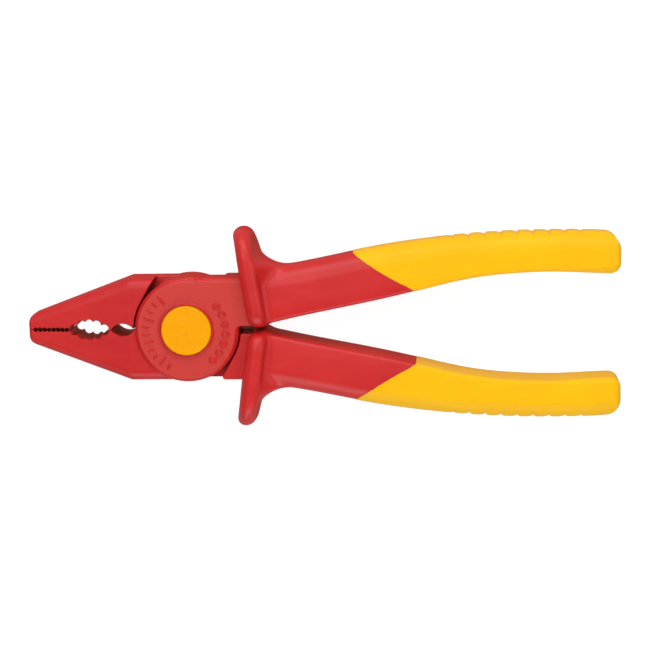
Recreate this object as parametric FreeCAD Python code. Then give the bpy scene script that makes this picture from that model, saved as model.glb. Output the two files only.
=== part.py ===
"""Insulated gripping pliers, 180 mm class, in millimetres.

Frame: the origin is on the pivot axis, midway between the two halves. +X runs along the tool to the
handle ends, +Y lies in the plane of the tool, and +Z is the pivot axis. The two halves have the same
shape: the rear one is the front one turned half a turn about X.
The front half carries the lower jaw (-Y), the front joint plate (+Z) and the upper handle (+Y).
"""
import FreeCAD
import Part
import math
import os

# Joint plates
DISC_RADIUS = 15.8
PLATE_FACE = 8.4            # outer face of a joint plate, from the mid-plane
PLATE_BEVEL = 1.1
PLATE_SPLIT = 0.15          # inner face of a joint plate, from the mid-plane
SHOULDER_RADIUS = 16.2      # full-thickness shoulders stand clear of the other half's disc
SHOULDER_ANGLE = 30.0       # where a shoulder leaves its arc and runs straight to the outer edge
ROOT_FACE = 7.3             # faces of the handle root beside the joint
ROOT_BEVEL = 0.9
ROOT_OUTER = 15.35          # outer edge of a handle root
SHOULDER_CORNER = 1.3       # rounding of a shoulder's outer corner
ROOT_GAP = 1.15             # inner edge of a joint plate's tail, from the tool's centre line
ROOT_INNER = 1.3            # inner edge of the handle root below it
ROOT_END_INNER_X = 20.4     # where the root ends inside the guard, at its inner and outer edges
ROOT_END_OUTER_X = 18.6
PLATE_END_X = 20.0          # the plate's tail ends inside the guard too
PLATE_NOTCH = 0.8           # the tail starts this far outside the disc

# Jaws
TIP_X = -49.0
JAW_CORNER_X = -17.6        # where the tapered outer edge meets the straight one
TIP_TAPER_Y = 4.25          # the tapered outer edge, carried on to the tip
TIP_HALF = 4.6              # half thickness at the tip
JAW_ROOT_HALF = 7.25
JAW_EDGE_RADIUS_TIP = 2.6
JAW_EDGE_RADIUS_ROOT = 3.6
JAW_INNER_RADIUS = 0.3      # the edges of the gripping face
JAW_PARTING = 0.05          # each jaw's gripping face, from the centre line
TIP_CORNER = 2.3            # length of the tip's rounding in plan
TIP_FLAT = 2.2              # where that rounding starts, from the centre line

# Fine teeth, scalloped pipe grip and the small oval hole, all along the gripping faces
TOOTH_COUNT = 8
TOOTH_FIRST_X = -46.8
TOOTH_PITCH = 1.4
TOOTH_RADIUS = 0.66
PIPE_X = -30.0
PIPE_CORE_HALF_LENGTH = 5.0
PIPE_CORE_HALF_HEIGHT = 2.3
PIPE_SCALLOPS = 5
PIPE_SCALLOP_PITCH = 2.36
PIPE_SCALLOP_RADIUS = 1.3
PIPE_REACH_HALF_LENGTH = 5.55    # the scallops' deepest points lie on an ellipse
PIPE_REACH_HALF_HEIGHT = 3.2
OVAL_FROM_X = -23.3
OVAL_TO_X = -16.6
OVAL_HALF_HEIGHT = 1.95

# Handle: x, inner edge, outer edge and half thickness of each section; the first few flare into the guard
HANDLE_SECTIONS = [
    (20.5, 1.0, 24.4, 9.2),
    (22.5, 1.2, 21.9, 8.2),
    (25.2, 1.8, 19.9, 7.7),
    (28.0, 2.3, 18.8, 7.5),
    (31.0, 3.0, 18.7, 7.5),
    (40.0, 4.9, 20.6, 7.5),
    (55.0, 7.9, 23.7, 7.5),
    (70.0, 11.3, 25.9, 7.5),
    (85.0, 14.7, 27.3, 7.4),
    (100.0, 16.25, 28.1, 7.3),
    (113.0, 16.4, 28.15, 7.2),
    (124.0, 15.75, 27.8, 7.1),
    (133.0, 15.6, 26.6, 7.0),
]
HANDLE_OUTER_RADIUS = 5.8   # the palm side is well rounded
HANDLE_INNER_RADIUS = 1.7
HANDLE_END_X = 129.9
HANDLE_END_OUTER = 27.75    # outer and inner edges at the rounded end
HANDLE_END_INNER = 15.6
HANDLE_END_OUTER_RADIUS = 5.2
HANDLE_END_INNER_RADIUS = 2.8

# Hand guard
GUARD_X = 21.3              # middle of the flange where it meets the centre line
GUARD_LEAN = 9.0            # degrees, outer end towards the jaws
GUARD_DISH = 7.0            # degrees that each side leans back from the middle, towards the handle end
GUARD_THICKNESS = 6.8
GUARD_INNER_Y = 0.75
GUARD_OUTER_Y = 30.4
GUARD_HALF = 12.6
GUARD_OUTER_RADIUS = 9.0
GUARD_INNER_RADIUS = 5.0
GUARD_RIM = 3.2

# Tang inside the handle: x, inner edge and outer edge
TANG_EDGES = [
    (16.0, 4.6, 15.0),
    (24.0, 5.0, 15.4),
    (40.0, 8.3, 17.2),
    (70.0, 14.6, 22.6),
    (100.0, 19.6, 24.8),
    (120.0, 19.5, 24.7),
]
TANG_HALF = 4.0

# Colour boundary between the red sleeve and the yellow grip, an arc in plan
BOUNDARY = [(41.4, 29.0), (57.2, 17.6), (73.8, 8.6)]
GRIP_RIBS = 9
RIB_FIRST_X = 79.9
RIB_PITCH = 4.79
RIB_DEPTH = 0.55
RIB_GROOVE_HALF = 0.8       # half width of the groove between two ribs
RIB_REACH = 4.5             # how far each groove runs down both sides from the middle

# Pivot
PIN_RADIUS = 4.5
BUSH_RUNNING_GAP = 0.05
BUSH_RADIUS = 5.8
HEAD_RADIUS = 7.2
HEAD_SEAT = 5.6             # under the pin's head and under the retaining ring, from the mid-plane
HEAD_GAP = 0.1              # the head runs just clear of the front half
CAP_RADIUS = 7.6
CAP_SEAT = 7.6
CAP_FACE = 9.1
CAP_CHAMFER = 0.35
CAP_PLUG_RADIUS = 2.0
CAP_PLUG_LENGTH = 3.0
RECESS_RADIUS = 7.75
COLLAR_RADIUS = 8.35
COLLAR_FACE = 9.1
RING_BORE_RADIUS = 3.5
WASHER_INNER_RADIUS = 6.4
WASHER_OUTER_RADIUS = 12.0
WASHER_BOTTOM = -0.45
WASHER_TOP = 0.05

FAR = 200.0                 # longer than anything it cuts


def vec(x, y, z=0.0):
    return FreeCAD.Vector(x, y, z)


def line(a, b):
    return Part.makeLine(vec(*a), vec(*b))


def arc(a, middle, b):
    return Part.Arc(vec(*a), vec(*middle), vec(*b)).toShape()


def round_point(centre, radius, degrees):
    turn = math.radians(degrees)
    return (centre[0] + radius * math.cos(turn), centre[1] + radius * math.sin(turn))


def prism(edges, low, high):
    """A solid from a closed plan outline, between two heights."""
    wire = Part.Wire(Part.__sortEdges__(edges))
    wire.translate(vec(0, 0, low))
    return Part.Face(wire).extrude(vec(0, 0, high - low))


def polygon(points, low, high):
    edges = [line(a, b) for a, b in zip(points, points[1:] + points[:1])]
    return prism(edges, low, high)


def cylinder(radius, low, high, x=0.0, y=0.0):
    return Part.makeCylinder(radius, high - low, vec(x, y, low))


def ring(inner, outer, low, high):
    return cylinder(outer, low, high).cut(cylinder(inner, low - 1, high + 1))


def turned_over(shape):
    """The same shape on the other half: half a turn about X."""
    copy = shape.copy()
    copy.rotate(vec(0, 0, 0), vec(1, 0, 0), 180)
    return copy


def bar_section(x, inner, outer, half, inner_radius, outer_radius):
    """A rounded rectangle across the tool, with its own corner radius on each side."""
    side = 1 if outer > inner else -1
    corners = [
        (outer - side * outer_radius, half - outer_radius, outer_radius, 1, 1),
        (outer - side * outer_radius, -half + outer_radius, outer_radius, 1, -1),
        (inner + side * inner_radius, -half + inner_radius, inner_radius, -1, -1),
        (inner + side * inner_radius, half - inner_radius, inner_radius, -1, 1),
    ]
    arcs = []
    for y, z, radius, out, up in corners:
        flank = vec(x, y + side * out * radius, z)
        face = vec(x, y, z + up * radius)
        half_way = radius * math.sqrt(0.5)
        middle = vec(x, y + side * out * half_way, z + up * half_way)
        start, end = (face, flank) if out * up > 0 else (flank, face)
        arcs.append(Part.Arc(start, middle, end).toShape())
    edges = []
    for this, following in zip(arcs, arcs[1:] + arcs[:1]):
        edges.append(this)
        edges.append(Part.makeLine(this.lastVertex(True).Point, following.firstVertex(True).Point))
    return Part.Wire(edges)


def edges_at_height(shape, z):
    """The edges that lie flat at one height."""
    flat = []
    for edge in shape.Edges:
        box = edge.BoundBox
        if abs(box.ZMin - z) < 1e-4 and abs(box.ZMax - z) < 1e-4:
            flat.append(edge)
    return flat


def joint_plate():
    """The front half's plate: a disc with one straight outer edge that runs on to the guard."""
    notch_x = DISC_RADIUS + PLATE_NOTCH
    outline = [
        line((PLATE_END_X, DISC_RADIUS), (0, DISC_RADIUS)),
        arc((0, DISC_RADIUS), (-DISC_RADIUS, 0), (0, -DISC_RADIUS)),
        arc((0, -DISC_RADIUS), round_point((0, 0), DISC_RADIUS, -45), (DISC_RADIUS, 0)),
        line((DISC_RADIUS, 0), (notch_x, ROOT_GAP)),
        line((notch_x, ROOT_GAP), (PLATE_END_X, ROOT_GAP)),
        line((PLATE_END_X, ROOT_GAP), (PLATE_END_X, DISC_RADIUS)),
    ]
    plate = prism(outline, PLATE_SPLIT, PLATE_FACE)
    rim = []
    for edge in edges_at_height(plate, PLATE_FACE):
        box = edge.BoundBox
        beside_notch = box.XMin > DISC_RADIUS - 0.1
        if not beside_notch:
            rim.append(edge)
    return plate.makeChamfer(PLATE_BEVEL, rim)


def jaw_blank():
    """The front half's jaw at full thickness, tapered to the tip, before its shoulder is cut."""
    straight_y = -DISC_RADIUS + 0.1
    sections = [
        bar_section(TIP_X, -JAW_PARTING, -TIP_TAPER_Y, TIP_HALF, JAW_INNER_RADIUS, JAW_EDGE_RADIUS_TIP),
    ]
    for x in (JAW_CORNER_X, 0):
        sections.append(bar_section(x, -JAW_PARTING, straight_y, JAW_ROOT_HALF, JAW_INNER_RADIUS,
                                    JAW_EDGE_RADIUS_ROOT))
    jaw = Part.makeLoft(sections, True, True)
    corner_x = TIP_X + TIP_CORNER
    corner_y = -TIP_TAPER_Y - 0.4
    clear_x = TIP_X - 5
    clear_y = -12
    tip_cutter = prism([
        line((TIP_X, -TIP_FLAT), (clear_x, -TIP_FLAT)),
        line((clear_x, -TIP_FLAT), (clear_x, clear_y)),
        line((clear_x, clear_y), (corner_x, clear_y)),
        line((corner_x, clear_y), (corner_x, corner_y)),
        arc((corner_x, corner_y), (TIP_X + 0.62, -TIP_FLAT - 1.35), (TIP_X, -TIP_FLAT)),
    ], -FAR, FAR)
    return jaw.cut(tip_cutter)


def root_block():
    """The full-thickness root that joins the plate to the handle, under the guard's edge."""
    block = polygon([
        (0, ROOT_INNER),
        (ROOT_END_INNER_X, ROOT_INNER),
        (ROOT_END_OUTER_X, ROOT_OUTER),
        (0, ROOT_OUTER),
    ], -ROOT_FACE, ROOT_FACE)
    return block.makeChamfer(ROOT_BEVEL, edges_at_height(block, -ROOT_FACE))


def tang():
    """The core that runs on inside the handle."""
    inner = [vec(x, low) for x, low, high in TANG_EDGES]
    outer = [vec(x, high) for x, low, high in TANG_EDGES]
    curves = []
    for points in (inner, outer):
        curve = Part.BSplineCurve()
        curve.interpolate(points)
        curves.append(curve.toShape())
    ends = [Part.makeLine(inner[0], outer[0]), Part.makeLine(inner[-1], outer[-1])]
    return prism(curves + ends, -TANG_HALF, TANG_HALF)


def far_plate_pocket():
    """The space on the -Z side that the other half's plate turns in."""
    disc = cylinder(SHOULDER_RADIUS, -FAR, PLATE_SPLIT)
    below = round_point((0, 0), SHOULDER_RADIUS, 180 + SHOULDER_ANGLE)
    above = round_point((0, 0), SHOULDER_RADIUS, SHOULDER_ANGLE)
    reach = 30.0
    run = math.radians(90 - SHOULDER_ANGLE)
    below_end = (below[0] + reach * math.cos(run), below[1] - reach * math.sin(run))
    above_end = (above[0] - reach * math.cos(run), above[1] + reach * math.sin(run))
    jaw_side = polygon([(0, 0), below, below_end, (FAR, below_end[1]), (FAR, 0)], -FAR, PLATE_SPLIT)
    handle_side = polygon([(0, 0), above, above_end, (-FAR, above_end[1]), (-FAR, 0)], -FAR, PLATE_SPLIT)
    return disc.fuse([jaw_side, handle_side])


def rounded_shoulder(body):
    """Round the upright outer corner of the handle root's shoulder, below the plate."""
    corner = []
    for edge in body.Edges:
        box = edge.BoundBox
        upright = box.XLength < 1e-3 and box.YLength < 1e-3 and box.ZLength > 2
        beside_plate = 5 < box.XMin < 14 and box.ZMax < 1
        if upright and beside_plate and abs(box.YMin - ROOT_OUTER) < 0.05:
            corner.append(edge)
    return body.makeFillet(SHOULDER_CORNER, corner)


def gripping_profile():
    """Everything that is cut out along the gripping faces: both jaws share it."""
    cutters = []
    for tooth in range(TOOTH_COUNT):
        x = TOOTH_FIRST_X + tooth * TOOTH_PITCH
        cutters.append(cylinder(TOOTH_RADIUS, -FAR, FAR, x))
    core = Part.Ellipse(vec(PIPE_X, 0, -FAR), PIPE_CORE_HALF_LENGTH, PIPE_CORE_HALF_HEIGHT).toShape()
    cutters.append(Part.Face(Part.Wire([core])).extrude(vec(0, 0, 2 * FAR)))
    for scallop in range(PIPE_SCALLOPS):
        offset = (scallop - (PIPE_SCALLOPS - 1) / 2) * PIPE_SCALLOP_PITCH
        reach = PIPE_REACH_HALF_HEIGHT * math.sqrt(1 - (offset / PIPE_REACH_HALF_LENGTH) ** 2)
        centre_y = reach - PIPE_SCALLOP_RADIUS
        for side in (-1, 1):
            cutters.append(cylinder(PIPE_SCALLOP_RADIUS, -FAR, FAR, PIPE_X + offset, side * centre_y))
    middle_x = (OVAL_FROM_X + OVAL_TO_X) / 2
    cutters.append(prism([
        arc((OVAL_FROM_X, 0), (middle_x, OVAL_HALF_HEIGHT), (OVAL_TO_X, 0)),
        arc((OVAL_TO_X, 0), (middle_x, -OVAL_HALF_HEIGHT), (OVAL_FROM_X, 0)),
    ], -FAR, FAR))
    return cutters


def bare_half():
    """The front half without its pivot bores."""
    body = jaw_blank().fuse([root_block(), tang()])
    body = body.cut(far_plate_pocket())
    body = rounded_shoulder(body)
    body = body.fuse(joint_plate())
    collar = cylinder(COLLAR_RADIUS, PLATE_SPLIT, COLLAR_FACE)
    body = body.fuse(collar)
    body = body.cut(gripping_profile())
    return body.removeSplitter()


def front_half():
    """Bored for the bush, with a seat for the pin's head and a recess for the cap."""
    cutters = [
        cylinder(BUSH_RADIUS, -FAR, FAR),
        cylinder(RECESS_RADIUS, HEAD_SEAT - HEAD_GAP, FAR),
    ]
    return bare_half().cut(cutters)


def rear_half():
    """Bored tight on the pin, with a seat for the retaining ring and one for the thrust washer."""
    turned = turned_over(bare_half())
    cutters = [
        cylinder(PIN_RADIUS, -FAR, FAR),
        cylinder(RECESS_RADIUS, -FAR, -HEAD_SEAT),
        ring(WASHER_INNER_RADIUS, WASHER_OUTER_RADIUS, WASHER_BOTTOM, 1),
    ]
    return turned.cut(cutters)


def handle_body():
    """The outside of the upper handle: a loft with a rounded end."""
    sections = []
    for x, inner, outer, half in HANDLE_SECTIONS:
        sections.append(bar_section(x, inner, outer, half, HANDLE_INNER_RADIUS, HANDLE_OUTER_RADIUS))
    body = Part.makeLoft(sections, True, False)
    end = HANDLE_END_X
    outer_y = HANDLE_END_OUTER
    inner_y = HANDLE_END_INNER
    outer_r = HANDLE_END_OUTER_RADIUS
    inner_r = HANDLE_END_INNER_RADIUS
    keep = prism([
        line((0, -20), (end - inner_r, -20)),
        line((end - inner_r, -20), (end - inner_r, inner_y)),
        arc((end - inner_r, inner_y), round_point((end - inner_r, inner_y + inner_r), inner_r, -45),
            (end, inner_y + inner_r)),
        line((end, inner_y + inner_r), (end, outer_y - outer_r)),
        arc((end, outer_y - outer_r), round_point((end - outer_r, outer_y - outer_r), outer_r, 45),
            (end - outer_r, outer_y)),
        line((end - outer_r, outer_y), (end - outer_r, 60)),
        line((end - outer_r, 60), (0, 60)),
        line((0, 60), (0, -20)),
    ], -FAR, FAR)
    return body.common(keep)


def guard_flange():
    """The hand guard: a thick leaning flange with a round rim, slightly dished, around the handle."""
    half = GUARD_THICKNESS / 2
    section = bar_section(-half, GUARD_INNER_Y, GUARD_OUTER_Y, GUARD_HALF, GUARD_INNER_RADIUS,
                          GUARD_OUTER_RADIUS)
    flange = Part.Face(section).extrude(vec(GUARD_THICKNESS, 0, 0))
    rim = [edge for edge in flange.Edges if edge.BoundBox.XLength < 1e-4]
    flange = flange.makeFillet(GUARD_RIM, rim)
    flange.rotate(vec(0, 0, 0), vec(0, 1, 0), GUARD_DISH)
    side = flange.common(Part.makeBox(FAR, FAR, FAR, vec(-FAR / 2, -FAR / 2, 0)))
    other_side = side.mirror(vec(0, 0, 0), vec(0, 0, 1))
    flange = side.fuse(other_side).removeSplitter()
    flange.rotate(vec(0, 0, 0), vec(0, 0, 1), GUARD_LEAN)
    flange.translate(vec(GUARD_X, 0, 0))
    return flange


def grip_region():
    """The part of space on the grip's side of the colour boundary."""
    start, middle, end = BOUNDARY
    return prism([
        arc(start, middle, end),
        line(end, (end[0], -40)),
        line((end[0], -40), (FAR, -40)),
        line((FAR, -40), (FAR, 60)),
        line((FAR, 60), (start[0], 60)),
        line((start[0], 60), start),
    ], -FAR, FAR)


def guard_sleeve(core):
    """The red sleeve with the guard, moulded round the core as far as the colour boundary."""
    outside = handle_body().fuse(guard_flange())
    return outside.cut([core, grip_region()])


def rib_cutters():
    """Shallow grooves across the palm side, which leave scalloped ribs between them."""
    cutters = []
    for rib in range(GRIP_RIBS):
        x = RIB_FIRST_X + rib * RIB_PITCH
        outer = outer_edge_at(x)
        left = x - RIB_GROOVE_HALF
        right = x + RIB_GROOVE_HALF
        groove = polygon([
            (left, outer + 0.1),
            (x, outer - RIB_DEPTH),
            (right, outer + 0.1),
            (right, outer + 2),
            (left, outer + 2),
        ], -RIB_REACH, RIB_REACH)
        cutters.append(groove)
    return cutters


def outer_edge_at(x):
    """The handle's outer edge at one x, by straight lines between its sections."""
    for this, following in zip(HANDLE_SECTIONS, HANDLE_SECTIONS[1:]):
        if this[0] <= x <= following[0]:
            share = (x - this[0]) / (following[0] - this[0])
            return this[2] + share * (following[2] - this[2])
    return HANDLE_SECTIONS[-1][2]


def grip(core):
    """The yellow grip, moulded round the rest of the core."""
    return handle_body().common(grip_region()).cut([core] + rib_cutters())


def pivot_pin():
    """Pin with its head at the front, a stepped rear end for the retaining ring and two end sockets."""
    pin = cylinder(PIN_RADIUS, -HEAD_SEAT, HEAD_SEAT)
    head = cylinder(HEAD_RADIUS, HEAD_SEAT, CAP_SEAT)
    rear_end = cylinder(RING_BORE_RADIUS, -CAP_SEAT, -HEAD_SEAT)
    pin = pin.fuse([head, rear_end])
    return pin.cut([
        cylinder(CAP_PLUG_RADIUS, CAP_SEAT - CAP_PLUG_LENGTH, FAR),
        cylinder(CAP_PLUG_RADIUS, -FAR, CAP_PLUG_LENGTH - CAP_SEAT),
    ])


def retaining_ring():
    """Ring fixed on the pin's stepped end; it holds the two halves together."""
    return ring(RING_BORE_RADIUS, HEAD_RADIUS, -CAP_SEAT, -HEAD_SEAT)


def pivot_bush():
    """Bush in the front half that turns on the pin."""
    return ring(PIN_RADIUS + BUSH_RUNNING_GAP, BUSH_RADIUS, WASHER_TOP + 0.1, HEAD_SEAT - HEAD_GAP)


def thrust_washer():
    """Washer between the two plates."""
    return ring(WASHER_INNER_RADIUS, WASHER_OUTER_RADIUS, WASHER_BOTTOM, WASHER_TOP)


def front_cap():
    """Cover disc on the pin's head, with a plug in the pin's socket."""
    cap = cylinder(CAP_RADIUS, CAP_SEAT, CAP_FACE)
    cap = cap.makeChamfer(CAP_CHAMFER, edges_at_height(cap, CAP_FACE))
    return cap.fuse(cylinder(CAP_PLUG_RADIUS, CAP_SEAT - CAP_PLUG_LENGTH + 0.5, CAP_SEAT))


def build():
    """Every node by its name."""
    front_core = front_half()
    rear_core = rear_half()
    plain_core = bare_half()
    sleeve = guard_sleeve(plain_core)
    palm_grip = grip(plain_core)
    cap = front_cap()
    return {
        "front_half": front_core,
        "rear_half": rear_core,
        "upper_guard_sleeve": sleeve,
        "lower_guard_sleeve": turned_over(sleeve),
        "upper_grip": palm_grip,
        "lower_grip": turned_over(palm_grip),
        "pivot_pin": pivot_pin(),
        "retaining_ring": retaining_ring(),
        "pivot_bush": pivot_bush(),
        "thrust_washer": thrust_washer(),
        "front_cap": cap,
        "rear_cap": turned_over(cap),
    }


def main():
    os.makedirs("parts", exist_ok=True)
    for name, shape in build().items():
        shape.exportStep("parts/" + name + ".step")
        box = shape.BoundBox
        print(name, "solids", len(shape.Solids), "valid", shape.isValid(), "volume", round(shape.Volume, 1),
              "x", round(box.XMin, 2), round(box.XMax, 2), "y", round(box.YMin, 2), round(box.YMax, 2),
              "z", round(box.ZMin, 2), round(box.ZMax, 2))


main()
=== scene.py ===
"""The looks of the insulated pliers, in millimetres until a mesh is made.

Each visible piece is described by a field: a function of x, y and z that is negative inside the plastic
and close to a true distance near its surface. Fields are joined and cut with rounded edges, as a mould
leaves them, and surface_mesh() turns one into quads that lie on it.
Both levers are the same moulding, the rear one turned half a turn about X.
"""
import bpy
import math
import numpy as np
from mathutils import Matrix, Vector


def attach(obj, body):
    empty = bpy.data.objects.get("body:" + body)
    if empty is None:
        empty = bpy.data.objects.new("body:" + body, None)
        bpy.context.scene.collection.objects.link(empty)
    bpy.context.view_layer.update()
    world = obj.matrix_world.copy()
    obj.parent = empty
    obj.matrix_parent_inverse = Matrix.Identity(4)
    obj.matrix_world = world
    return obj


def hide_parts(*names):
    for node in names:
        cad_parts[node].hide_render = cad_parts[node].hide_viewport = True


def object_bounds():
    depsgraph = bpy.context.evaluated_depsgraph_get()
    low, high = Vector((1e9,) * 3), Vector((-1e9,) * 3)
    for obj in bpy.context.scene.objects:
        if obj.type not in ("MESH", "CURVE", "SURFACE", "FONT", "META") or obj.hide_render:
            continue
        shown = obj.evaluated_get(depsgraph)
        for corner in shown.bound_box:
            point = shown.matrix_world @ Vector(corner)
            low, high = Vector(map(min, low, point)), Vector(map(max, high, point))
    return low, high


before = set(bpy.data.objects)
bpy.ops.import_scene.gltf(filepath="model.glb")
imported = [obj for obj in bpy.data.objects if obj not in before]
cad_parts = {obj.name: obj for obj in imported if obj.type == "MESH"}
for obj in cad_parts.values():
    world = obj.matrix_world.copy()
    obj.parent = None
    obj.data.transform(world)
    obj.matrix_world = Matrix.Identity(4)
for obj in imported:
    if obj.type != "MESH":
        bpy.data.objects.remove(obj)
cad_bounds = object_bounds()

MM = 0.001

# Small roundings
CRISP_EDGE = 0.1            # the jaws' outlines, the gripping cuts, the cap
FACE_EDGE = 0.12            # the raised plate's face and the recess for the cap
SPLIT_EDGE = 0.15           # round the faces that lie against the other half
SOFT_EDGE = 0.3             # the collar, the core, the cap's plug
SMALL_FILLET = 0.2          # between jaw and root, plate and collar, and round the core

# Joint plates
DISC_RADIUS = 15.8
PLATE_FACE = 8.4
PLATE_BEVEL = 1.1
PLATE_RIM = 0.25
PLATE_SPLIT = 0.15          # half the gap between the two halves
PLATE_FILLET = 0.3          # between the plate and what grows out of it
ROOT_GAP = 1.15             # from the middle plane to a handle's root
STRIP = ((0, ROOT_GAP), (21, DISC_RADIUS))      # the plate runs on straight into the guard: two corners
BEVEL_STRIP = ((3, 0.3), (30, DISC_RADIUS))     # larger for the bevel: the inner side stays nearly square
STRIP_FILLET = 0.8

# Pocket that the other half's plate turns in, and the handle's root beside the joint
SHOULDER_RADIUS = 16.2
SHOULDER_ANGLE = math.radians(30)
SHOULDER_CORNER = 1.3
ROOT_FACE = 7.3
ROOT_OUTER = 15.35
ROOT_SET_BACK = 0.15        # of its inner wall, from the plate's
ROOT_INNER_EDGE = 0.4
ROOT_FACE_EDGE = 0.5
ROOT_END_X = 20.4
ROOT_END_SLANT = 0.128
ROOT_OVERLAP = 1            # how far it runs up into the plate

# Raised scale on each plate: angles in degrees
MARK_RELIEF = 0.34
MARK_FLANK = (-0.12, 0.14)  # the relief rises between these distances in from a mark's outline
TICKS = 11
TICK_FIRST = 128
TICK_PITCH = 11.5
TICK_INNER = 11.2
LONG_TICK_INNER = 10.2
LONG_TICK_EVERY = 3
TICK_OUTER = 13.3
TICK_WIDTH = 0.8
PIPS = 7
PIP_FIRST = 38
PIP_PITCH = 14.5
PIP_PLACE = 11.9
PIP_RADIUS = 1.2
RING_HALF_WIDTH = 0.3

# Jaws
TIP_X = -49.0
TIP_CORNER = 2.3            # in plan
TIP_FACE_EDGE = 1.2
TIP_TAPER_Y = -4.25
TIP_HALF = 4.6
JAW_CORNER_X = -17.6
JAW_OUTER_Y = -15.7
JAW_ROOT_HALF = 7.25
JAW_EDGE = 3.4              # rounding of the outer edge at the root
JAW_EDGE_AT_TIP = 0.78      # share of it at the tip, and what is gained along the jaw
JAW_EDGE_GAIN = 0.22
JAW_PARTING = 0.08          # each jaw stands back this much from the middle plane
POCKET_EDGE = 0.45

# Gripping faces
TOOTH_COUNT = 8
TOOTH_FIRST_X = -46.8
TOOTH_PITCH = 1.4
TOOTH_RADIUS = 0.68
TOOTH_RELIEF = 0.12         # the crests between the teeth stand back from the parting line
PIPE_X = -30.0
PIPE_CORE_HALF_LENGTH = 5.0
PIPE_CORE_HALF_HEIGHT = 2.3
PIPE_SCALLOPS = 5
PIPE_SCALLOP_PITCH = 2.36
PIPE_SCALLOP_RADIUS = 1.3
PIPE_REACH_HALF_LENGTH = 5.55
PIPE_REACH_HALF_HEIGHT = 3.2
OVAL_FROM_X = -23.3
OVAL_TO_X = -16.0
OVAL_HALF_HEIGHT = 1.95

# Handle: x, inner edge, outer edge and half thickness
HANDLE = [
    (18.0, 0.6, 17.2, 7.8),
    (25.0, 1.7, 17.9, 7.55),
    (31.0, 3.0, 18.8, 7.5),
    (40.0, 4.9, 20.45, 7.5),
    (55.0, 7.9, 23.45, 7.5),
    (70.0, 11.3, 25.7, 7.5),
    (85.0, 14.7, 27.2, 7.4),
    (100.0, 16.25, 28.0, 7.3),
    (113.0, 16.4, 28.1, 7.2),
    (124.0, 15.75, 27.8, 7.1),
    (133.0, 15.6, 27.0, 7.0),
]
HANDLE_END_X = 129.7
PALM_RADIUS = 5.8
PALM_END_CORNER = 5.2
FINGER_END_CORNER = 3.2
FINGER_RADIUS = 1.2
FINGER_END_RADIUS = 2.2     # the finger edge grows rounder, to this, along a stretch of x
FINGER_END_STRETCH = (108, 128)
FINGER_BEVEL = 3.4          # the face falls away slightly over this width beside the finger edge
FINGER_FALL = 0.08

# Guard
GUARD_X = 21.5
GUARD_LEAN = math.radians(9)
GUARD_BOW = 0.7             # how far the sides sweep back at GUARD_BOW_AT from the middle
GUARD_BOW_AT = 12.0
GUARD_INNER_Y = 0.75
GUARD_OUTER_Y = 30.16
GUARD_HALF = 12.55
GUARD_OUTER_CORNER = 9.5
GUARD_INNER_CORNER = 5.0
GUARD_MIDDLE_HALF = 3.3     # half thickness in the middle, and at GUARD_SIDE_AT to the side
GUARD_SIDE_HALF = 2.75
GUARD_SIDE_AT = 10
GUARD_THINNING = 0.35       # it thins by this much over GUARD_THINNING_Y
GUARD_THINNING_Y = (14, 30)
GUARD_RIM = 2.6             # rounding of the rim
GUARD_FILLET = 2.3          # between guard and handle on the faces
GUARD_PALM_FILLET = 11.0    # the same on the palm side, coming in over these y and past the guard
PALM_FILLET_Y = (13, 20)
PALM_FILLET_PAST = (0, 2)

# Core inside the handle: x, inner edge, outer edge
TANG = [
    (16.0, 4.6, 15.0),
    (24.0, 5.0, 15.4),
    (40.0, 8.3, 17.2),
    (70.0, 14.6, 22.6),
    (100.0, 19.6, 24.8),
    (120.0, 19.5, 24.7),
]
TANG_HALF = 4.0

# Where the red sleeve ends and the yellow grip begins: three points of an arc in plan
BOUNDARY = [(41.4, 29.0), (57.2, 17.6), (73.8, 8.6)]
INSIDE_GRIP = (90, 20)      # a point on the grip's side of it
GRIP_PROUD = 0.12           # the grip stands this much above the sleeve
GRIP_LIP_EDGE = 0.05
SLEEVE_LAP = 0.3            # the grip is moulded over this much of the sleeve's edge

# Ribs on the palm side: their flanks and ends are in shares of the pitch
RIBS = 9
RIB_FIRST_X = 79.9
RIB_PITCH = 4.79
RIB_DEPTH = 0.56
RIB_STEEP_SHARE = 0.13      # the steep flank
RIB_EASY_FROM = 0.55        # where the easy flank begins, and how long it is
RIB_EASY_SHARE = 0.45
RIB_RUN_IN = 0.7            # the first rib comes in over this much before and after its place
RIB_CUT_SHORT = 0.4         # the last one is cut short by this much
RIB_FADE_Z = (3.0, 6.8)     # they fade out between these distances from the middle
RIB_SOFTENING = 0.3         # the last ones are shallower by up to this share, between these ribs
RIB_SOFTENING_FROM = (6.5, 8.0)

# Pivot
PIN_RADIUS = 4.5
BUSH_RADIUS = 5.8
HEAD_SEAT = 5.6
HEAD_CLEARANCE = 0.1
CAP_RADIUS = 7.68
CAP_SEAT = 7.6
CAP_FACE = 9.1
CAP_CROWN = 0.05
CAP_CHAMFER = 0.45
CAP_PLUG_RADIUS = 2.0
CAP_PLUG_FROM = 5.1
CAP_PLUG_OVERLAP = 0.3      # how far the plug runs up into the cap
RECESS_RADIUS = 7.75
COLLAR_RADIUS = 8.35
COLLAR_FACE = 9.1
WASHER_INNER = 6.4
WASHER_OUTER = 12.0
WASHER_SEAT = 0.45

# Sunk bars on the cap
BARS = 6
BAR_X = -0.4
BAR_FIRST_Y = 5.0
BAR_PITCH = 2.0
BAR_HALF_LENGTHS = (0.45, 0.75)     # by turns
BAR_HALF_WIDTH = 0.22
BAR_DEPTH = 0.1
BAR_FLANK = (-0.1, 0.1)

FAR = 9.0                   # stands for no mark or bar nearby


# ---------------------------------------------------------------- fields

def length(a, b):
    return np.sqrt(a * a + b * b)


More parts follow.
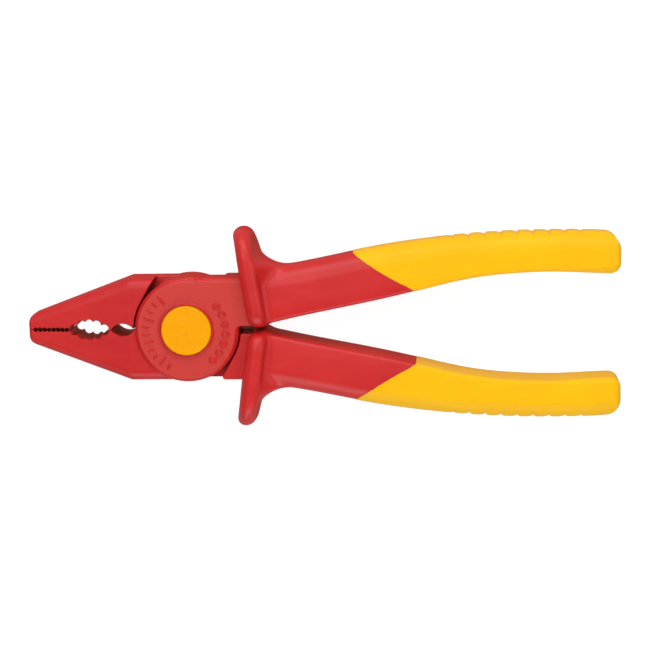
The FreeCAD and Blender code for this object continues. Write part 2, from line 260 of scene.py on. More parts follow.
def both(a, b, radius=0.0):
    """What is inside a and b, with the edge between them rounded."""
    corner = length(np.maximum(a + radius, 0), np.maximum(b + radius, 0))
    return np.minimum(np.maximum(a, b), -radius) + corner


def either(a, b, radius=0.0):
    """What is inside a or b, with a fillet of that radius between them."""
    return -both(-a, -b, radius)


def without(a, b, radius=0.0):
    return both(a, -b, radius)


def disc(x, y, radius, at=(0.0, 0.0)):
    return length(x - at[0], y - at[1]) - radius


def box(x, y, low, high):
    """A rectangle in plan, between two corners."""
    across = np.maximum(low[0] - x, x - high[0])
    along = np.maximum(low[1] - y, y - high[1])
    outside = length(np.maximum(across, 0), np.maximum(along, 0))
    return np.minimum(np.maximum(across, along), 0) + outside


def step(value, low, high):
    """0 below low, 1 above high, smooth between."""
    share = np.clip((value - low) / (high - low), 0, 1)
    return share * share * (3 - 2 * share)


def smooth_curve(table, column):
    """A smooth curve through one column of a table whose first column is x: a natural cubic spline."""
    xs = np.array([row[0] for row in table])
    ys = np.array([row[column] for row in table])
    spans = np.diff(xs)
    slopes = np.diff(ys) / spans
    count = len(xs)
    system = np.eye(count)
    bends = np.zeros(count)
    for i in range(1, count - 1):
        system[i, i - 1:i + 2] = spans[i - 1], 2 * (spans[i - 1] + spans[i]), spans[i]
        bends[i] = 6 * (slopes[i] - slopes[i - 1])
    bends = np.linalg.solve(system, bends)

    def curve(x):
        x = np.clip(x, xs[0], xs[-1])
        i = np.clip(np.searchsorted(xs, x) - 1, 0, count - 2)
        left, right, span = x - xs[i], xs[i + 1] - x, spans[i]
        cubic = (bends[i] * right ** 3 + bends[i + 1] * left ** 3) / (6 * span)
        from_left = (ys[i] / span - bends[i] * span / 6) * right
        from_right = (ys[i + 1] / span - bends[i + 1] * span / 6) * left
        return cubic + (from_left + from_right)
    return curve


def circle_through(a, b, c):
    """Centre and radius of the circle through three points in plan."""
    rows = []
    sums = []
    for point in (b, c):
        rows.append([2 * (point[0] - a[0]), 2 * (point[1] - a[1])])
        sums.append(point[0] ** 2 + point[1] ** 2 - a[0] ** 2 - a[1] ** 2)
    centre = np.linalg.solve(np.array(rows), np.array(sums))
    return centre, math.hypot(a[0] - centre[0], a[1] - centre[1])


# ---------------------------------------------------------------- gripping faces

def teeth_cut(x, y):
    """A row of small round teeth, with the crests between them set back."""
    nearest = np.clip(np.round((x - TOOTH_FIRST_X) / TOOTH_PITCH), 0, TOOTH_COUNT - 1)
    teeth = length(x - TOOTH_FIRST_X - nearest * TOOTH_PITCH, y) - TOOTH_RADIUS
    last_x = TOOTH_FIRST_X + (TOOTH_COUNT - 1) * TOOTH_PITCH
    return np.minimum(teeth, box(x, y, (TOOTH_FIRST_X, -TOOTH_RELIEF), (last_x, TOOTH_RELIEF)))


def pipe_grip_cut(x, y):
    """An ellipse with round scallops along both sides."""
    along = (x - PIPE_X) / PIPE_CORE_HALF_LENGTH
    up = y / PIPE_CORE_HALF_HEIGHT
    reach = length(along, up)
    gradient = length(along / PIPE_CORE_HALF_LENGTH, up / PIPE_CORE_HALF_HEIGHT)
    pipe = reach * (reach - 1) / np.maximum(gradient, 1e-3)
    middle = (PIPE_SCALLOPS - 1) / 2
    for number in range(PIPE_SCALLOPS):
        offset = (number - middle) * PIPE_SCALLOP_PITCH
        deepest = PIPE_REACH_HALF_HEIGHT * math.sqrt(1 - (offset / PIPE_REACH_HALF_LENGTH) ** 2)
        centre_y = deepest - PIPE_SCALLOP_RADIUS
        scallop = length(x - PIPE_X - offset, np.abs(y) - centre_y) - PIPE_SCALLOP_RADIUS
        pipe = np.minimum(pipe, scallop)
    return pipe


def oval_cut(x, y):
    """A pointed oval: two arcs that meet on the parting line."""
    half = (OVAL_TO_X - OVAL_FROM_X) / 2
    radius = (half ** 2 + OVAL_HALF_HEIGHT ** 2) / (2 * OVAL_HALF_HEIGHT)
    centre_x = (OVAL_FROM_X + OVAL_TO_X) / 2
    return length(x - centre_x, np.abs(y) + radius - OVAL_HALF_HEIGHT) - radius


def gripping_cuts(x, y):
    return np.minimum(np.minimum(teeth_cut(x, y), pipe_grip_cut(x, y)), oval_cut(x, y))


# ---------------------------------------------------------------- halves

def shoulder(x, y, side):
    """Plan of the pocket for the other half's plate: an arc that runs out along its tangent."""
    out_x, out_y = side * math.cos(SHOULDER_ANGLE), side * math.sin(SHOULDER_ANGLE)
    past = -x * out_y + y * out_x
    straight = x * out_x + y * out_y - SHOULDER_RADIUS
    return np.where(past > 0, straight, disc(x, y, SHOULDER_RADIUS))


def jaw(x, y, z):
    """The lower jaw, full thickness, with the other plate's pocket cut away below its own plate."""
    run = JAW_CORNER_X - TIP_X
    drop = JAW_OUTER_Y - TIP_TAPER_Y
    taper = (-(y - TIP_TAPER_Y) * run + (x - TIP_X) * drop) / math.hypot(run, drop)
    outer = both(taper, JAW_OUTER_Y - y, CRISP_EDGE)
    share = np.clip((x - TIP_X) / run, 0, 1)
    half = TIP_HALF + (JAW_ROOT_HALF - TIP_HALF) * share
    flat = np.abs(z) - half
    edge = JAW_EDGE * (JAW_EDGE_AT_TIP + JAW_EDGE_GAIN * share)
    body = both(outer, flat, edge)
    body = both(body, y + JAW_PARTING, SPLIT_EDGE)
    plan_tip = both(TIP_X - x, outer, TIP_CORNER)
    body = both(body, both(plan_tip, flat, TIP_FACE_EDGE), CRISP_EDGE)
    body = both(body, x)
    pocket = both(z - PLATE_SPLIT, shoulder(x, y, -1), SPLIT_EDGE)
    return without(body, pocket, POCKET_EDGE)


def root(x, y, z):
    """The handle root beside the joint, below the plate, with its own rounded shoulder."""
    slant = (x - ROOT_END_X) + (y - ROOT_GAP) * ROOT_END_SLANT
    outer = both(y - ROOT_OUTER, -shoulder(x, y, 1), SHOULDER_CORNER)
    plan = both(outer, ROOT_GAP + ROOT_SET_BACK - y, ROOT_INNER_EDGE)
    plan = both(plan, both(slant, -x))
    body = both(plan, -z - ROOT_FACE, ROOT_FACE_EDGE)
    return both(body, z - PLATE_SPLIT - ROOT_OVERLAP)


tang_inner = smooth_curve(TANG, 1)
tang_outer = smooth_curve(TANG, 2)


def tang(x, y, z):
    """The flat core inside the handle."""
    plan = np.maximum(tang_inner(x) - y, y - tang_outer(x))
    body = both(plan, np.abs(z) - TANG_HALF, SOFT_EDGE)
    return both(body, np.maximum(TANG[0][0] - x, x - TANG[-1][0]), SOFT_EDGE)


def tick(x, y, angle, inner, outer, width):
    """A short radial bar with round ends, in plan."""
    turn = math.radians(angle)
    along = x * math.cos(turn) + y * math.sin(turn)
    across = -x * math.sin(turn) + y * math.cos(turn)
    middle, half = (inner + outer) / 2, (outer - inner) / 2 - width / 2
    return length(np.maximum(np.abs(along - middle) - half, 0), across) - width / 2


def disc_marks(x, y):
    """A plain raised scale beside the pivot: bars on one side, pips and rings on the other."""
    marks = np.full(np.broadcast(x, y).shape, FAR)
    for number in range(TICKS):
        inner = TICK_INNER if number % LONG_TICK_EVERY else LONG_TICK_INNER
        bar = tick(x, y, TICK_FIRST + TICK_PITCH * number, inner, TICK_OUTER, TICK_WIDTH)
        marks = np.minimum(marks, bar)
    for number in range(PIPS):
        turn = math.radians(PIP_FIRST - PIP_PITCH * number)
        pip = disc(x, y, PIP_RADIUS, (PIP_PLACE * math.cos(turn), PIP_PLACE * math.sin(turn)))
        if number % 2:
            pip = np.abs(pip + RING_HALF_WIDTH) - RING_HALF_WIDTH
        marks = np.minimum(marks, pip)
    return marks


def plate(x, y, z):
    """The joint plate: a bevelled disc that runs on straight to the guard, with a collar round the cap."""
    round_part = disc(x, y, DISC_RADIUS)
    plan = either(round_part, box(x, y, *STRIP), STRIP_FILLET)
    bevel_plan = either(round_part, box(x, y, *BEVEL_STRIP), STRIP_FILLET)
    bevel = (bevel_plan + z - PLATE_FACE + PLATE_BEVEL) * math.sqrt(0.5)
    relief = MARK_RELIEF * step(-disc_marks(x, y), *MARK_FLANK)
    body = both(bevel, z - PLATE_FACE - relief, FACE_EDGE)
    body = both(body, plan, PLATE_RIM)
    body = both(body, PLATE_SPLIT - z, SPLIT_EDGE)
    collar = both(disc(x, y, COLLAR_RADIUS), z - COLLAR_FACE, SOFT_EDGE)
    collar = both(collar, PLATE_SPLIT - z)
    return either(body, collar, SMALL_FILLET)


def half_outside(x, y, z):
    """One half before it is bored: jaw, root, plate and core, with the gripping faces cut in."""
    arms = either(jaw(x, y, z), root(x, y, z), SMALL_FILLET)
    arms = either(arms, plate(x, y, z), PLATE_FILLET)
    arms = either(arms, tang(x, y, z), SMALL_FILLET)
    return without(arms, gripping_cuts(x, y), CRISP_EDGE)


def front_half_field(x, y, z):
    """Bored for the bush, with a recess for the pin's head and the cap."""
    body = without(half_outside(x, y, z), disc(x, y, BUSH_RADIUS))
    recess = both(disc(x, y, RECESS_RADIUS), HEAD_SEAT - HEAD_CLEARANCE - z)
    return without(body, recess, FACE_EDGE)


def rear_half_field(x, y, z):
    """The same, before it is turned over: bored for the pin, with the thrust washer's groove."""
    body = without(half_outside(x, y, z), disc(x, y, PIN_RADIUS))
    recess = both(disc(x, y, RECESS_RADIUS), HEAD_SEAT - z)
    body = without(body, recess, FACE_EDGE)
    ring = np.maximum(disc(x, y, WASHER_OUTER), -disc(x, y, WASHER_INNER))
    return without(body, both(ring, z - WASHER_SEAT))


# ---------------------------------------------------------------- sleeve and grip

handle_inner = smooth_curve(HANDLE, 1)
handle_outer = smooth_curve(HANDLE, 2)
handle_half = smooth_curve(HANDLE, 3)


def handle(x, y, z, dip=0.0, proud=0.0):
    """The outside of the upper handle: round on the palm side, nearly square on the finger side."""
    inner = handle_inner(x) - y - proud
    outer = y - handle_outer(x) + dip - proud
    face = np.abs(z) - handle_half(x) - proud
    fall = face + FINGER_FALL * (FINGER_BEVEL + inner)
    face = both(face, fall, CRISP_EDGE)
    body = both(outer, face, PALM_RADIUS)
    edge = FINGER_RADIUS + (FINGER_END_RADIUS - FINGER_RADIUS) * step(x, *FINGER_END_STRETCH)
    body = both(body, inner, edge)
    past_end = x - HANDLE_END_X
    end_round = both(past_end, outer, PALM_END_CORNER)
    end_round = both(end_round, both(past_end, inner, FINGER_END_CORNER))
    return both(body, both(end_round, face, edge))


def from_guard(x, y, z):
    """How far a point is past the guard's middle surface, towards the handle end."""
    middle = GUARD_X - math.tan(GUARD_LEAN) * y + GUARD_BOW * (z / GUARD_BOW_AT) ** 2
    return (x - middle) * math.cos(GUARD_LEAN)


def guard(x, y, z):
    """The hand guard: a leaning, slightly bowed flange with a full round rim."""
    off = np.abs(from_guard(x, y, z))
    side = step(np.abs(z), 0, GUARD_SIDE_AT)
    half = GUARD_MIDDLE_HALF + (GUARD_SIDE_HALF - GUARD_MIDDLE_HALF) * side
    half = half - GUARD_THINNING * step(y, *GUARD_THINNING_Y)
    beside = np.abs(z) - GUARD_HALF
    outline = both(y - GUARD_OUTER_Y, beside, GUARD_OUTER_CORNER)
    outline = both(outline, both(GUARD_INNER_Y - y, beside, GUARD_INNER_CORNER))
    return both(off - half, outline, GUARD_RIM)


boundary_centre, boundary_radius = circle_through(*BOUNDARY)


def past_boundary(x, y):
    """Negative on the grip's side of the colour boundary."""
    to_grip = math.hypot(INSIDE_GRIP[0] - boundary_centre[0], INSIDE_GRIP[1] - boundary_centre[1])
    outside = np.sign(to_grip - boundary_radius)
    return -outside * disc(x, y, boundary_radius, boundary_centre)


def core_hole(x, y, z):
    """The space that the half fills inside the sleeve."""
    return np.minimum(tang(x, y, z), np.minimum(root(x, y, z), plate(x, y, z)))


def sleeve_field(x, y, z):
    """The red sleeve with its guard, as far as the colour boundary."""
    past = from_guard(x, y, z)
    bar = both(handle(x, y, z), -past)
    palm_side = step(y, *PALM_FILLET_Y) * step(past, *PALM_FILLET_PAST)
    fillet = GUARD_FILLET + (GUARD_PALM_FILLET - GUARD_FILLET) * palm_side
    outside = either(bar, guard(x, y, z), fillet)
    body = both(outside, -past_boundary(x, y) - SLEEVE_LAP)
    return without(body, core_hole(x, y, z))


def rib_dip(x, z):
    """How far the palm side dips between its ribs: sharp valleys, each steeper towards the grip's end."""
    turns = (x - RIB_FIRST_X) / RIB_PITCH
    phase = turns - np.floor(turns)
    steep = np.where(phase < RIB_STEEP_SHARE, 1 - phase / RIB_STEEP_SHARE, 0)
    easy = np.where(phase > RIB_EASY_FROM, (phase - RIB_EASY_FROM) / RIB_EASY_SHARE, 0) ** 2
    run_in = RIB_RUN_IN * RIB_PITCH
    last_x = RIB_FIRST_X + (RIBS - 1) * RIB_PITCH
    gone_x = RIB_FIRST_X + (RIBS - RIB_CUT_SHORT) * RIB_PITCH
    inside = step(x, RIB_FIRST_X - run_in, RIB_FIRST_X + run_in)
    inside = inside * (1 - step(x, last_x, gone_x))
    fade = (1 - step(np.abs(z), *RIB_FADE_Z)) * (1 - RIB_SOFTENING * step(turns, *RIB_SOFTENING_FROM))
    return RIB_DEPTH * (steep + easy) * inside * fade


def grip_field(x, y, z):
    """The yellow grip, from the colour boundary to the handle's end."""
    outside = handle(x, y, z, dip=rib_dip(x, z), proud=GRIP_PROUD)
    outside = both(outside, x - HANDLE_END_X)
    body = both(outside, past_boundary(x, y), GRIP_LIP_EDGE)
    return without(body, tang(x, y, z))


# ---------------------------------------------------------------- cap

def cap_bars(x, y):
    """A column of short bars across the cap, in plan."""
    bars = np.full(np.broadcast(x, y).shape, FAR)
    for number in range(BARS):
        centre_y = BAR_FIRST_Y - BAR_PITCH * number
        past_end = np.maximum(np.abs(x - BAR_X) - BAR_HALF_LENGTHS[number % 2], 0)
        bars = np.minimum(bars, length(past_end, y - centre_y) - BAR_HALF_WIDTH)
    return bars


def cap_field(x, y, z):
    """The pivot's cover: a slightly crowned disc with a chamfered rim, sunk bars and a plug below."""
    away = length(x, y)
    rim = away - CAP_RADIUS
    sunk = BAR_DEPTH * step(-cap_bars(x, y), *BAR_FLANK)
    top = z - CAP_FACE + CAP_CROWN * (away / CAP_RADIUS) ** 2 + sunk
    chamfer = (rim + z - CAP_FACE + CAP_CHAMFER) * math.sqrt(0.5)
    lid = both(both(top, chamfer, CRISP_EDGE), rim, CRISP_EDGE)
    lid = both(lid, CAP_SEAT - z)
    plug = both(away - CAP_PLUG_RADIUS, CAP_PLUG_FROM - z, SOFT_EDGE)
    plug = both(plug, z - CAP_SEAT - CAP_PLUG_OVERLAP)
    return np.minimum(lid, plug)


# ---------------------------------------------------------------- meshes

PULLS = 6                   # how often the points are pulled towards the surface
LONGEST_PULL = 0.1
LEAST_STEEPNESS = 0.25      # squared: a flatter field would throw a point too far
NORMAL_REACH = 0.04
CELL_MARGIN = 0.02          # each point stays in its own grid cell, off the cell's sides, so no two meet


def lines(*stops):
    """Grid lines: start, step, then further stops and steps, and the end."""
    places = []
    for start, pace, end in zip(stops[0::2], stops[1::2], stops[2::2]):
        count = max(1, round((end - start) / pace))
        places.extend(np.linspace(start, end, count, endpoint=False))
    places.append(stops[-1])
    return np.array(places)


def slope(field, points, reach=0.01):
    """The field and its gradient at each point."""
    x, y, z = points.T
    value = field(x, y, z)
    gradient = np.stack([
        field(x + reach, y, z) - field(x - reach, y, z),
        field(x, y + reach, z) - field(x, y - reach, z),
        field(x, y, z + reach) - field(x, y, z - reach),
    ], axis=1) / (2 * reach)
    return value, gradient


def crossings(values, grid, axis):
    """Where the surface crosses the grid lines of one axis: places, indices, and if it leaves there."""
    near = np.moveaxis(values, axis, 0)[:-1]
    far = np.moveaxis(values, axis, 0)[1:]
    hits = np.argwhere((near < 0) != (far < 0))
    before = near[tuple(hits.T)]
    after = far[tuple(hits.T)]
    others = [a for a in range(3) if a != axis]
    index = np.zeros_like(hits)
    index[:, axis] = hits[:, 0]
    index[:, others[0]] = hits[:, 1]
    index[:, others[1]] = hits[:, 2]
    places = np.stack([grid[a][index[:, a]] for a in range(3)], axis=1)
    along = grid[axis]
    places[:, axis] += (along[index[:, axis] + 1] - along[index[:, axis]]) * before / (before - after)
    return places, index, before < 0


def first_points(values, grid, cells):
    """One point in each cell that the surface passes through, the cells' numbers, and quads of points."""
    total = cells[0] * cells[1] * cells[2]
    strides = np.array([cells[1] * cells[2], cells[2], 1])
    sums = np.zeros((total, 3))
    counts = np.zeros(total)
    quads = []
    for axis in range(3):
        places, index, leaving = crossings(values, grid, axis)
        others = [a for a in range(3) if a != axis]
        ring = []
        for back in ((1, 1), (0, 1), (0, 0), (1, 0)):
            cell = index.copy()
            cell[:, others[0]] -= back[0]
            cell[:, others[1]] -= back[1]
            flat = cell @ strides
            ring.append(flat)
            for a in range(3):
                sums[:, a] += np.bincount(flat, places[:, a], total)
            counts += np.bincount(flat, minlength=total)
        ring = np.stack(ring, axis=1)
        outward = leaving != (axis == 1)
        quads.append(np.where(outward[:, None], ring, ring[:, ::-1]))
    used = np.flatnonzero(counts)
    number = np.zeros(total, np.int64)
    number[used] = np.arange(len(used))
    return sums[used] / counts[used, None], used, number[np.concatenate(quads)]


def pull_onto(field, points, low, high):
    """Move the points onto the field's zero surface, each within its own bounds."""
    for _ in range(PULLS):
        value, gradient = slope(field, points)
        steepness = np.maximum((gradient ** 2).sum(1), LEAST_STEEPNESS)
        move = gradient * (value / steepness)[:, None]
        size = np.sqrt((move ** 2).sum(1))
        points = points - move * np.minimum(1, LONGEST_PULL / np.maximum(size, 1e-9))[:, None]
        points = np.clip(points, low, high)
    return points


def new_mesh(name, points, quads, normals):
    """A smooth mesh of quads, in metres."""
    mesh = bpy.data.meshes.new(name)
    mesh.vertices.add(len(points))
    mesh.vertices.foreach_set("co", (points * MM).ravel())
    mesh.loops.add(quads.size)
    mesh.loops.foreach_set("vertex_index", quads.ravel())
    mesh.polygons.add(len(quads))
    mesh.polygons.foreach_set("loop_start", np.arange(0, quads.size, 4))
    mesh.polygons.foreach_set("use_smooth", np.ones(len(quads), bool))
    mesh.update(calc_edges=True)
    mesh.validate()
    mesh.normals_split_custom_set_from_vertices(normals.tolist())
    return mesh


def surface_mesh(name, field, xs, ys, zs):
    """Quads on the field's zero surface: one point in each grid cell that the surface passes through."""
    grid = (xs, ys, zs)
    values = field(xs[:, None, None], ys[None, :, None], zs[None, None, :])
    values = np.broadcast_to(values, [len(g) for g in grid])
    cells = [len(g) - 1 for g in grid]
    points, used, quads = first_points(values, grid, cells)
    corner = np.stack(np.unravel_index(used, cells), axis=1)
    low = np.stack([g[corner[:, a]] for a, g in enumerate(grid)], axis=1)
    high = np.stack([g[corner[:, a] + 1] for a, g in enumerate(grid)], axis=1)
    margin = CELL_MARGIN * (high - low)
    points = pull_onto(field, points, low + margin, high - margin)
    _, gradient = slope(field, points, NORMAL_REACH)
    normals = gradient / np.maximum(np.sqrt((gradient ** 2).sum(1)), 1e-6)[:, None]
    return new_mesh(name, points, quads, normals)


def add_piece(node, mesh, body, material, over=False):
    """The visible piece that stands for a node, turned over where it belongs to the rear half."""
    name = node + "_moulding"
    if over:
        mesh = mesh.copy()
        mesh.transform(Matrix.Rotation(math.pi, 4, "X"))
    mesh.name = name
    mesh.materials.append(material)
    piece = bpy.data.objects.new(name, mesh)
    bpy.context.scene.collection.objects.link(piece)
    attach(piece, body)
    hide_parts(node)


# ---------------------------------------------------------------- materials

PAINTED_SHEEN_FROM = (8.1, 8.4)     # heights over which the plate's painted sheen, a paler colour, comes in, and goes again
PAINTED_SHEEN_TO = (8.5, 8.65)
PAINTED_SHADE_REACH = 4.0         # how far away a wall still darkens a crevice with painted shade
GRAIN_HEIGHT = 0.12


def srgb(red, green, blue):
    """A colour given as 0 to 255, in the linear values that shaders take."""
    parts = []
    for value in (red, green, blue):
        share = value / 255
        parts.append(share / 12.92 if share <= 0.04045 else ((share + 0.055) / 1.055) ** 2.4)
    return (*parts, 1.0)


class Nodes:
    """Builds one material's nodes."""

    def __init__(self, name):
        self.material = bpy.data.materials.new(name)
        self.material.use_nodes = True
        self.tree = self.material.node_tree
        self.shader = self.tree.nodes["Principled BSDF"]
        self.place = self.add("ShaderNodeTexCoord").outputs["Object"]

    def add(self, kind, **settings):
        node = self.tree.nodes.new(kind)
        for key, value in settings.items():
            setattr(node, key, value)
        return node

    def link(self, output, target):
        self.tree.links.new(output, target)

    def height(self):
        node = self.add("ShaderNodeSeparateXYZ")
        self.link(self.place, node.inputs["Vector"])
        return node.outputs["Z"]

    def noise(self, scale, detail, rough=0.5, stretch=None):
        node = self.add("ShaderNodeTexNoise")
        node.inputs["Scale"].default_value = scale
        node.inputs["Detail"].default_value = detail
        node.inputs["Roughness"].default_value = rough
        place = self.place
        if stretch:
            mapping = self.add("ShaderNodeMapping")
            mapping.inputs["Scale"].default_value = stretch
            self.link(place, mapping.inputs["Vector"])
            place = mapping.outputs["Vector"]
        self.link(place, node.inputs["Vector"])
        return node.outputs["Fac"]

    def ramp(self, value, low, high):
        """0 below low, 1 above high, smooth between."""
        node = self.add("ShaderNodeMapRange", clamp=True, interpolation_type="SMOOTHSTEP")
        node.inputs["From Min"].default_value = low
        node.inputs["From Max"].default_value = high
        self.link(value, node.inputs["Value"])
        return node.outputs["Result"]

    def blend(self, share, first, second):
        node = self.add("ShaderNodeMix", data_type="RGBA")
        self.link(share, node.inputs["Factor"])
        for socket, colour in ((node.inputs["A"], first), (node.inputs["B"], second)):
            if isinstance(colour, tuple):
                socket.default_value = colour
            else:
                self.link(colour, socket)
        return node.outputs["Result"]

    def maths(self, operation, first, second=0.0):
        node = self.add("ShaderNodeMath", operation=operation)
        for socket, value in zip(node.inputs, (first, second)):
            if isinstance(value, float):
                socket.default_value = value
            else:
                self.link(value, socket)
        return node.outputs["Value"]

    def plus(self, first, second):
        return self.maths("ADD", first, second)

    def times(self, first, second):
        return self.maths("MULTIPLY", first, second)

    def bump(self, height, strength, distance):
        node = self.add("ShaderNodeBump")
        node.inputs["Strength"].default_value = strength
        node.inputs["Distance"].default_value = distance
        self.link(height, node.inputs["Height"])
        return node.outputs["Normal"]


def painted_sheen_share(n):
    """Where the painted sheen goes: 1 on the raised plates' faces, on either side of the tool, and 0
    elsewhere.
    """
    height = n.maths("ABSOLUTE", n.height())
    low = n.ramp(height, PAINTED_SHEEN_FROM[0] * MM, PAINTED_SHEEN_FROM[1] * MM)
    high = n.ramp(height, PAINTED_SHEEN_TO[0] * MM, PAINTED_SHEEN_TO[1] * MM)
    return n.maths("SUBTRACT", low, high)


def plastic_colour(n, base, light, dark, painted_shade, plate):
    """Faint clouds and flow marks, a paler colour painted on the plates' faces as a painted sheen if there
    is one, and painted shade darkening the crevices.
    """
    cloud = n.ramp(n.noise(scale=60, detail=3), low=0.35, high=0.65)
    flow = n.noise(scale=140, detail=4, rough=0.6, stretch=(0.35, 1.6, 1.6))
    flow = n.ramp(flow, low=0.4, high=0.7)
    colour = n.blend(cloud, dark, base)
    colour = n.blend(n.times(flow, 0.35), colour, light)
    # Painted sheen: a paler colour on the raised plates' faces, standing in for the light they catch.
    if plate:
        colour = n.blend(painted_sheen_share(n), colour, plate)
    # Painted shade: ambient occlusion darkens the base colour towards the crevice colour in slots and
    # gaps.
    shade_occlusion = n.add("ShaderNodeAmbientOcclusion", samples=6)
    shade_occlusion.inputs["Distance"].default_value = PAINTED_SHADE_REACH * MM
    return n.blend(n.ramp(shade_occlusion.outputs["AO"], low=0.06, high=0.42), painted_shade, colour)


def moulded_plastic(name, base, light, dark, painted_shade, roughness, gloss, grain=0.5, plate=None, sheen=0.0):
    """Satin moulded plastic: fine grain, faint flow marks, rubbed patches and a few hairline scuffs.

    Deep slots are darkened with painted shade. The raised plates' faces may have a paler colour, a painted
    sheen.
    """
    n = Nodes(name)
    n.link(plastic_colour(n, base, light, dark, painted_shade, plate), n.shader.inputs["Base Color"])
    rubbed = n.ramp(n.noise(scale=95, detail=5, rough=0.65), low=0.5, high=0.68)
    scuffs = n.ramp(n.noise(scale=900, detail=2, stretch=(0.08, 1.0, 0.5)), low=0.66, high=0.74)
    rough = n.plus(n.times(rubbed, -0.07), roughness)
    rough = n.plus(rough, n.times(scuffs, 0.1))
    n.link(rough, n.shader.inputs["Roughness"])
    fine = n.noise(scale=5200, detail=2, rough=0.6)
    coarse = n.noise(scale=1500, detail=3, rough=0.55)
    height = n.plus(n.times(fine, 0.6), n.times(coarse, 0.4))
    height = n.plus(height, n.times(scuffs, -0.25))
    n.link(n.bump(height, grain, GRAIN_HEIGHT * MM), n.shader.inputs["Normal"])
    n.shader.inputs["IOR"].default_value = 1.5
    n.shader.inputs["Specular IOR Level"].default_value = gloss
    n.shader.inputs["Sheen Weight"].default_value = sheen
    n.shader.inputs["Sheen Roughness"].default_value = 0.4
    return n.material


# Colours of the painted shade in slots and gaps; the crevice colours of the grey and natural plastics
# below are painted shade too.
painted_shade_red = srgb(118, 18, 9)
painted_shade_yellow = srgb(190, 110, 4)
# The red halves' plate colour is a painted sheen on the raised plates' faces.
red = moulded_plastic("red_moulded_plastic", base=srgb(198, 28, 29), light=srgb(205, 39, 35),
                      dark=srgb(190, 21, 25), painted_shade=painted_shade_red, roughness=0.42, gloss=0.35,
                      plate=srgb(199, 53, 46))
red_sleeve = moulded_plastic("red_sleeve_plastic", base=srgb(202, 31, 31), light=srgb(209, 43, 38),
                             dark=srgb(194, 25, 27), painted_shade=painted_shade_red, roughness=0.4, gloss=0.4)
yellow = moulded_plastic("yellow_grip_plastic", base=srgb(247, 187, 2), light=srgb(249, 192, 8),
                         dark=srgb(244, 182, 1), painted_shade=painted_shade_yellow, roughness=0.45, gloss=0.15,
                         sheen=0.12)
amber = moulded_plastic("amber_cap_plastic", base=srgb(241, 163, 2), light=srgb(244, 168, 5),
                        dark=srgb(238, 157, 1), painted_shade=painted_shade_yellow, roughness=0.38, gloss=0.1,
                        grain=0.3)
grey = moulded_plastic("pin_plastic", base=srgb(70, 70, 72), light=srgb(84, 84, 86),
                       dark=srgb(60, 60, 62), painted_shade=srgb(40, 40, 42), roughness=0.45, gloss=0.4)
natural = moulded_plastic("bearing_plastic", base=srgb(222, 220, 212), light=srgb(230, 228, 222),
                          dark=srgb(212, 210, 202), painted_shade=srgb(150, 148, 142), roughness=0.35,
                          gloss=0.4)


# ---------------------------------------------------------------- pieces

# Grid lines for each shape, closest together where it has most detail
half_xs = lines(-49.6, 0.12, -36.4, 0.22, -15, 0.27, 15, 0.36, 21.4, 1.5, 121)
half_ys = lines(-16.8, 0.3, -3.8, 0.2, -0.9, 0.11, 0.2, 0.28, 16, 0.7, 25.8)
half_zs = lines(-7.9, 0.4, -3, 0.7, -0.6, 0.15, 0.6, 0.6, 4.2, 0.35, 6.6, 0.2, 9.4)
sleeve_xs = lines(12.6, 0.4, 76)
sleeve_ys = lines(-0.35, 0.4, 31)
sleeve_zs = lines(-13.2, 0.42, 13.2)
grip_xs = lines(38, 0.5, 76, 0.25, 123, 0.33, 130.5)
grip_ys = lines(7, 0.4, 29.2)
grip_zs = lines(-8.4, 0.4, 8.4)
cap_lines = lines(-8, 0.16, 8)
cap_zs = lines(4.9, 0.3, 7.4, 0.13, 9.4)

front = surface_mesh("front_half_shape", front_half_field, half_xs, half_ys, half_zs)
rear = surface_mesh("rear_half_shape", rear_half_field, half_xs, half_ys, half_zs)
sleeve = surface_mesh("sleeve_shape", sleeve_field, sleeve_xs, sleeve_ys, sleeve_zs)
grip = surface_mesh("grip_shape", grip_field, grip_xs, grip_ys, grip_zs)
cap = surface_mesh("cap_shape", cap_field, cap_lines, cap_lines, cap_zs)

add_piece("front_half", front, "front_lever", red)
add_piece("rear_half", rear, "rear_lever", red, over=True)
add_piece("lower_guard_sleeve", sleeve, "rear_lever", red_sleeve, over=True)
add_piece("upper_guard_sleeve", sleeve, "front_lever", red_sleeve)
add_piece("lower_grip", grip, "rear_lever", yellow, over=True)
add_piece("upper_grip", grip, "front_lever", yellow)
add_piece("rear_cap", cap, "rear_lever", amber, over=True)
add_piece("front_cap", cap, "rear_lever", amber)

inner_pieces = {"pivot_pin": grey, "retaining_ring": grey, "pivot_bush": natural, "thrust_washer": natural}
for node, material in inner_pieces.items():
    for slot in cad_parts[node].material_slots:
        slot.material = material


# ---------------------------------------------------------------- floor, light and camera

FLOOR_REACH = 3.0
FLOOR_GAP = 0.0003
CAMERA_PLACE = Vector((0.08387, 0.09095, 0.54874))
CAMERA_RIGHT = Vector((0.997, -0.0207, -0.0741))
CAMERA_BACK = Vector((0.0765, 0.1631, 0.9836))


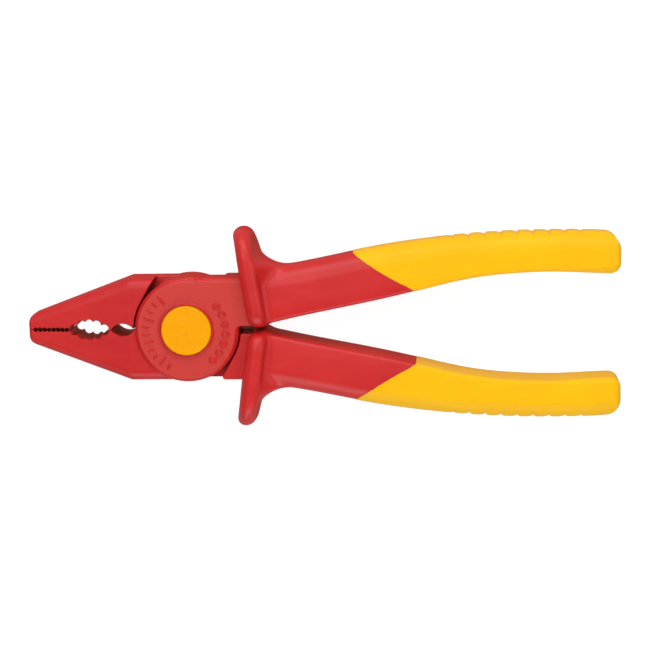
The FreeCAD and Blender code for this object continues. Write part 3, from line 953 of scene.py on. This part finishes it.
def add_floor():
    """A plain pale floor that the tool lies on, bright enough that only a faint shadow shows on it."""
    mesh = bpy.data.meshes.new("floor")
    z = cad_bounds[0].z - FLOOR_GAP
    corners = [(x * FLOOR_REACH, y * FLOOR_REACH, z) for x, y in ((-1, -1), (1, -1), (1, 1), (-1, 1))]
    mesh.from_pydata(corners, [], [(0, 1, 2, 3)])
    floor = bpy.data.objects.new("floor", mesh)
    bpy.context.scene.collection.objects.link(floor)
    floor.visible_diffuse = False
    floor.visible_glossy = False
    n = Nodes("pale_floor")
    n.shader.inputs["Base Color"].default_value = (0.22, 0.22, 0.22, 1)
    n.shader.inputs["Roughness"].default_value = 0.9
    n.shader.inputs["Specular IOR Level"].default_value = 0.0
    n.shader.inputs["Emission Color"].default_value = (1, 1, 1, 1)
    n.shader.inputs["Emission Strength"].default_value = 0.9
    mesh.materials.append(n.material)


def add_area_light(name, place, size, power, target=(0.04, 0, 0)):
    data = bpy.data.lights.new(name, "AREA")
    data.shape = "RECTANGLE"
    data.size, data.size_y = size
    data.energy = power
    lamp = bpy.data.objects.new(name, data)
    lamp.location = place
    aim = Vector(target) - Vector(place)
    lamp.rotation_euler = aim.to_track_quat("-Z", "Y").to_euler()
    bpy.context.scene.collection.objects.link(lamp)


def add_world(stops):
    """Studio surroundings, the same all round: how far up a direction points (-1 to 1), and its colour."""
    world = bpy.data.worlds.new("studio")
    world.use_nodes = True
    tree = world.node_tree
    direction = tree.nodes.new("ShaderNodeTexCoord")
    height = tree.nodes.new("ShaderNodeSeparateXYZ")
    share = tree.nodes.new("ShaderNodeMapRange")
    share.inputs["From Min"].default_value = -1.0
    share.inputs["From Max"].default_value = 1.0
    ramp = tree.nodes.new("ShaderNodeValToRGB")
    while len(ramp.color_ramp.elements) < len(stops):
        ramp.color_ramp.elements.new(1.0)
    for element, (up, colour) in zip(ramp.color_ramp.elements, stops):
        element.position = (up + 1) / 2
        element.color = colour
    tree.links.new(direction.outputs["Generated"], height.inputs["Vector"])
    tree.links.new(height.outputs["Z"], share.inputs["Value"])
    tree.links.new(share.outputs["Result"], ramp.inputs["Fac"])
    tree.links.new(ramp.outputs["Color"], tree.nodes["Background"].inputs["Color"])
    bpy.context.scene.world = world


def add_camera():
    """A long lens almost square on to the tool, looking a little from the upper handle's side."""
    data = bpy.data.cameras.new("camera")
    data.sensor_width = 36
    data.lens = 101.9
    data.clip_start = 0.01
    data.clip_end = 20
    camera = bpy.data.objects.new("camera", data)
    back = CAMERA_BACK.normalized()
    up = back.cross(CAMERA_RIGHT).normalized()
    turn = Matrix((up.cross(back), up, back)).transposed().to_4x4()
    camera.matrix_world = Matrix.Translation(CAMERA_PLACE) @ turn
    bpy.context.scene.collection.objects.link(camera)
    bpy.context.scene.camera = camera


add_floor()
add_area_light("top_softbox", place=(0.05, 0.6, 0.3), size=(0.9, 0.4), power=3.7)
add_area_light("bottom_softbox", place=(0.05, -0.6, 0.3), size=(0.9, 0.4), power=3.0)
add_area_light("left_softbox", place=(-0.18, 0.2, 0.65), size=(0.4, 0.5), power=1.75)
add_area_light("right_softbox", place=(0.6, 0.05, 0.5), size=(0.4, 0.5), power=1.3)
warm = (0.34, 0.1, 0.05, 1)
bright = (0.5, 0.5, 0.5, 1)
level = (0.35, 0.35, 0.35, 1)
dim = (0.2, 0.2, 0.2, 1)
add_world([(-1, warm), (-0.93, warm), (-0.8, bright), (0, level), (0.5, dim), (1, dim)])
add_camera()
bpy.context.scene.view_settings.view_transform = "Standard"
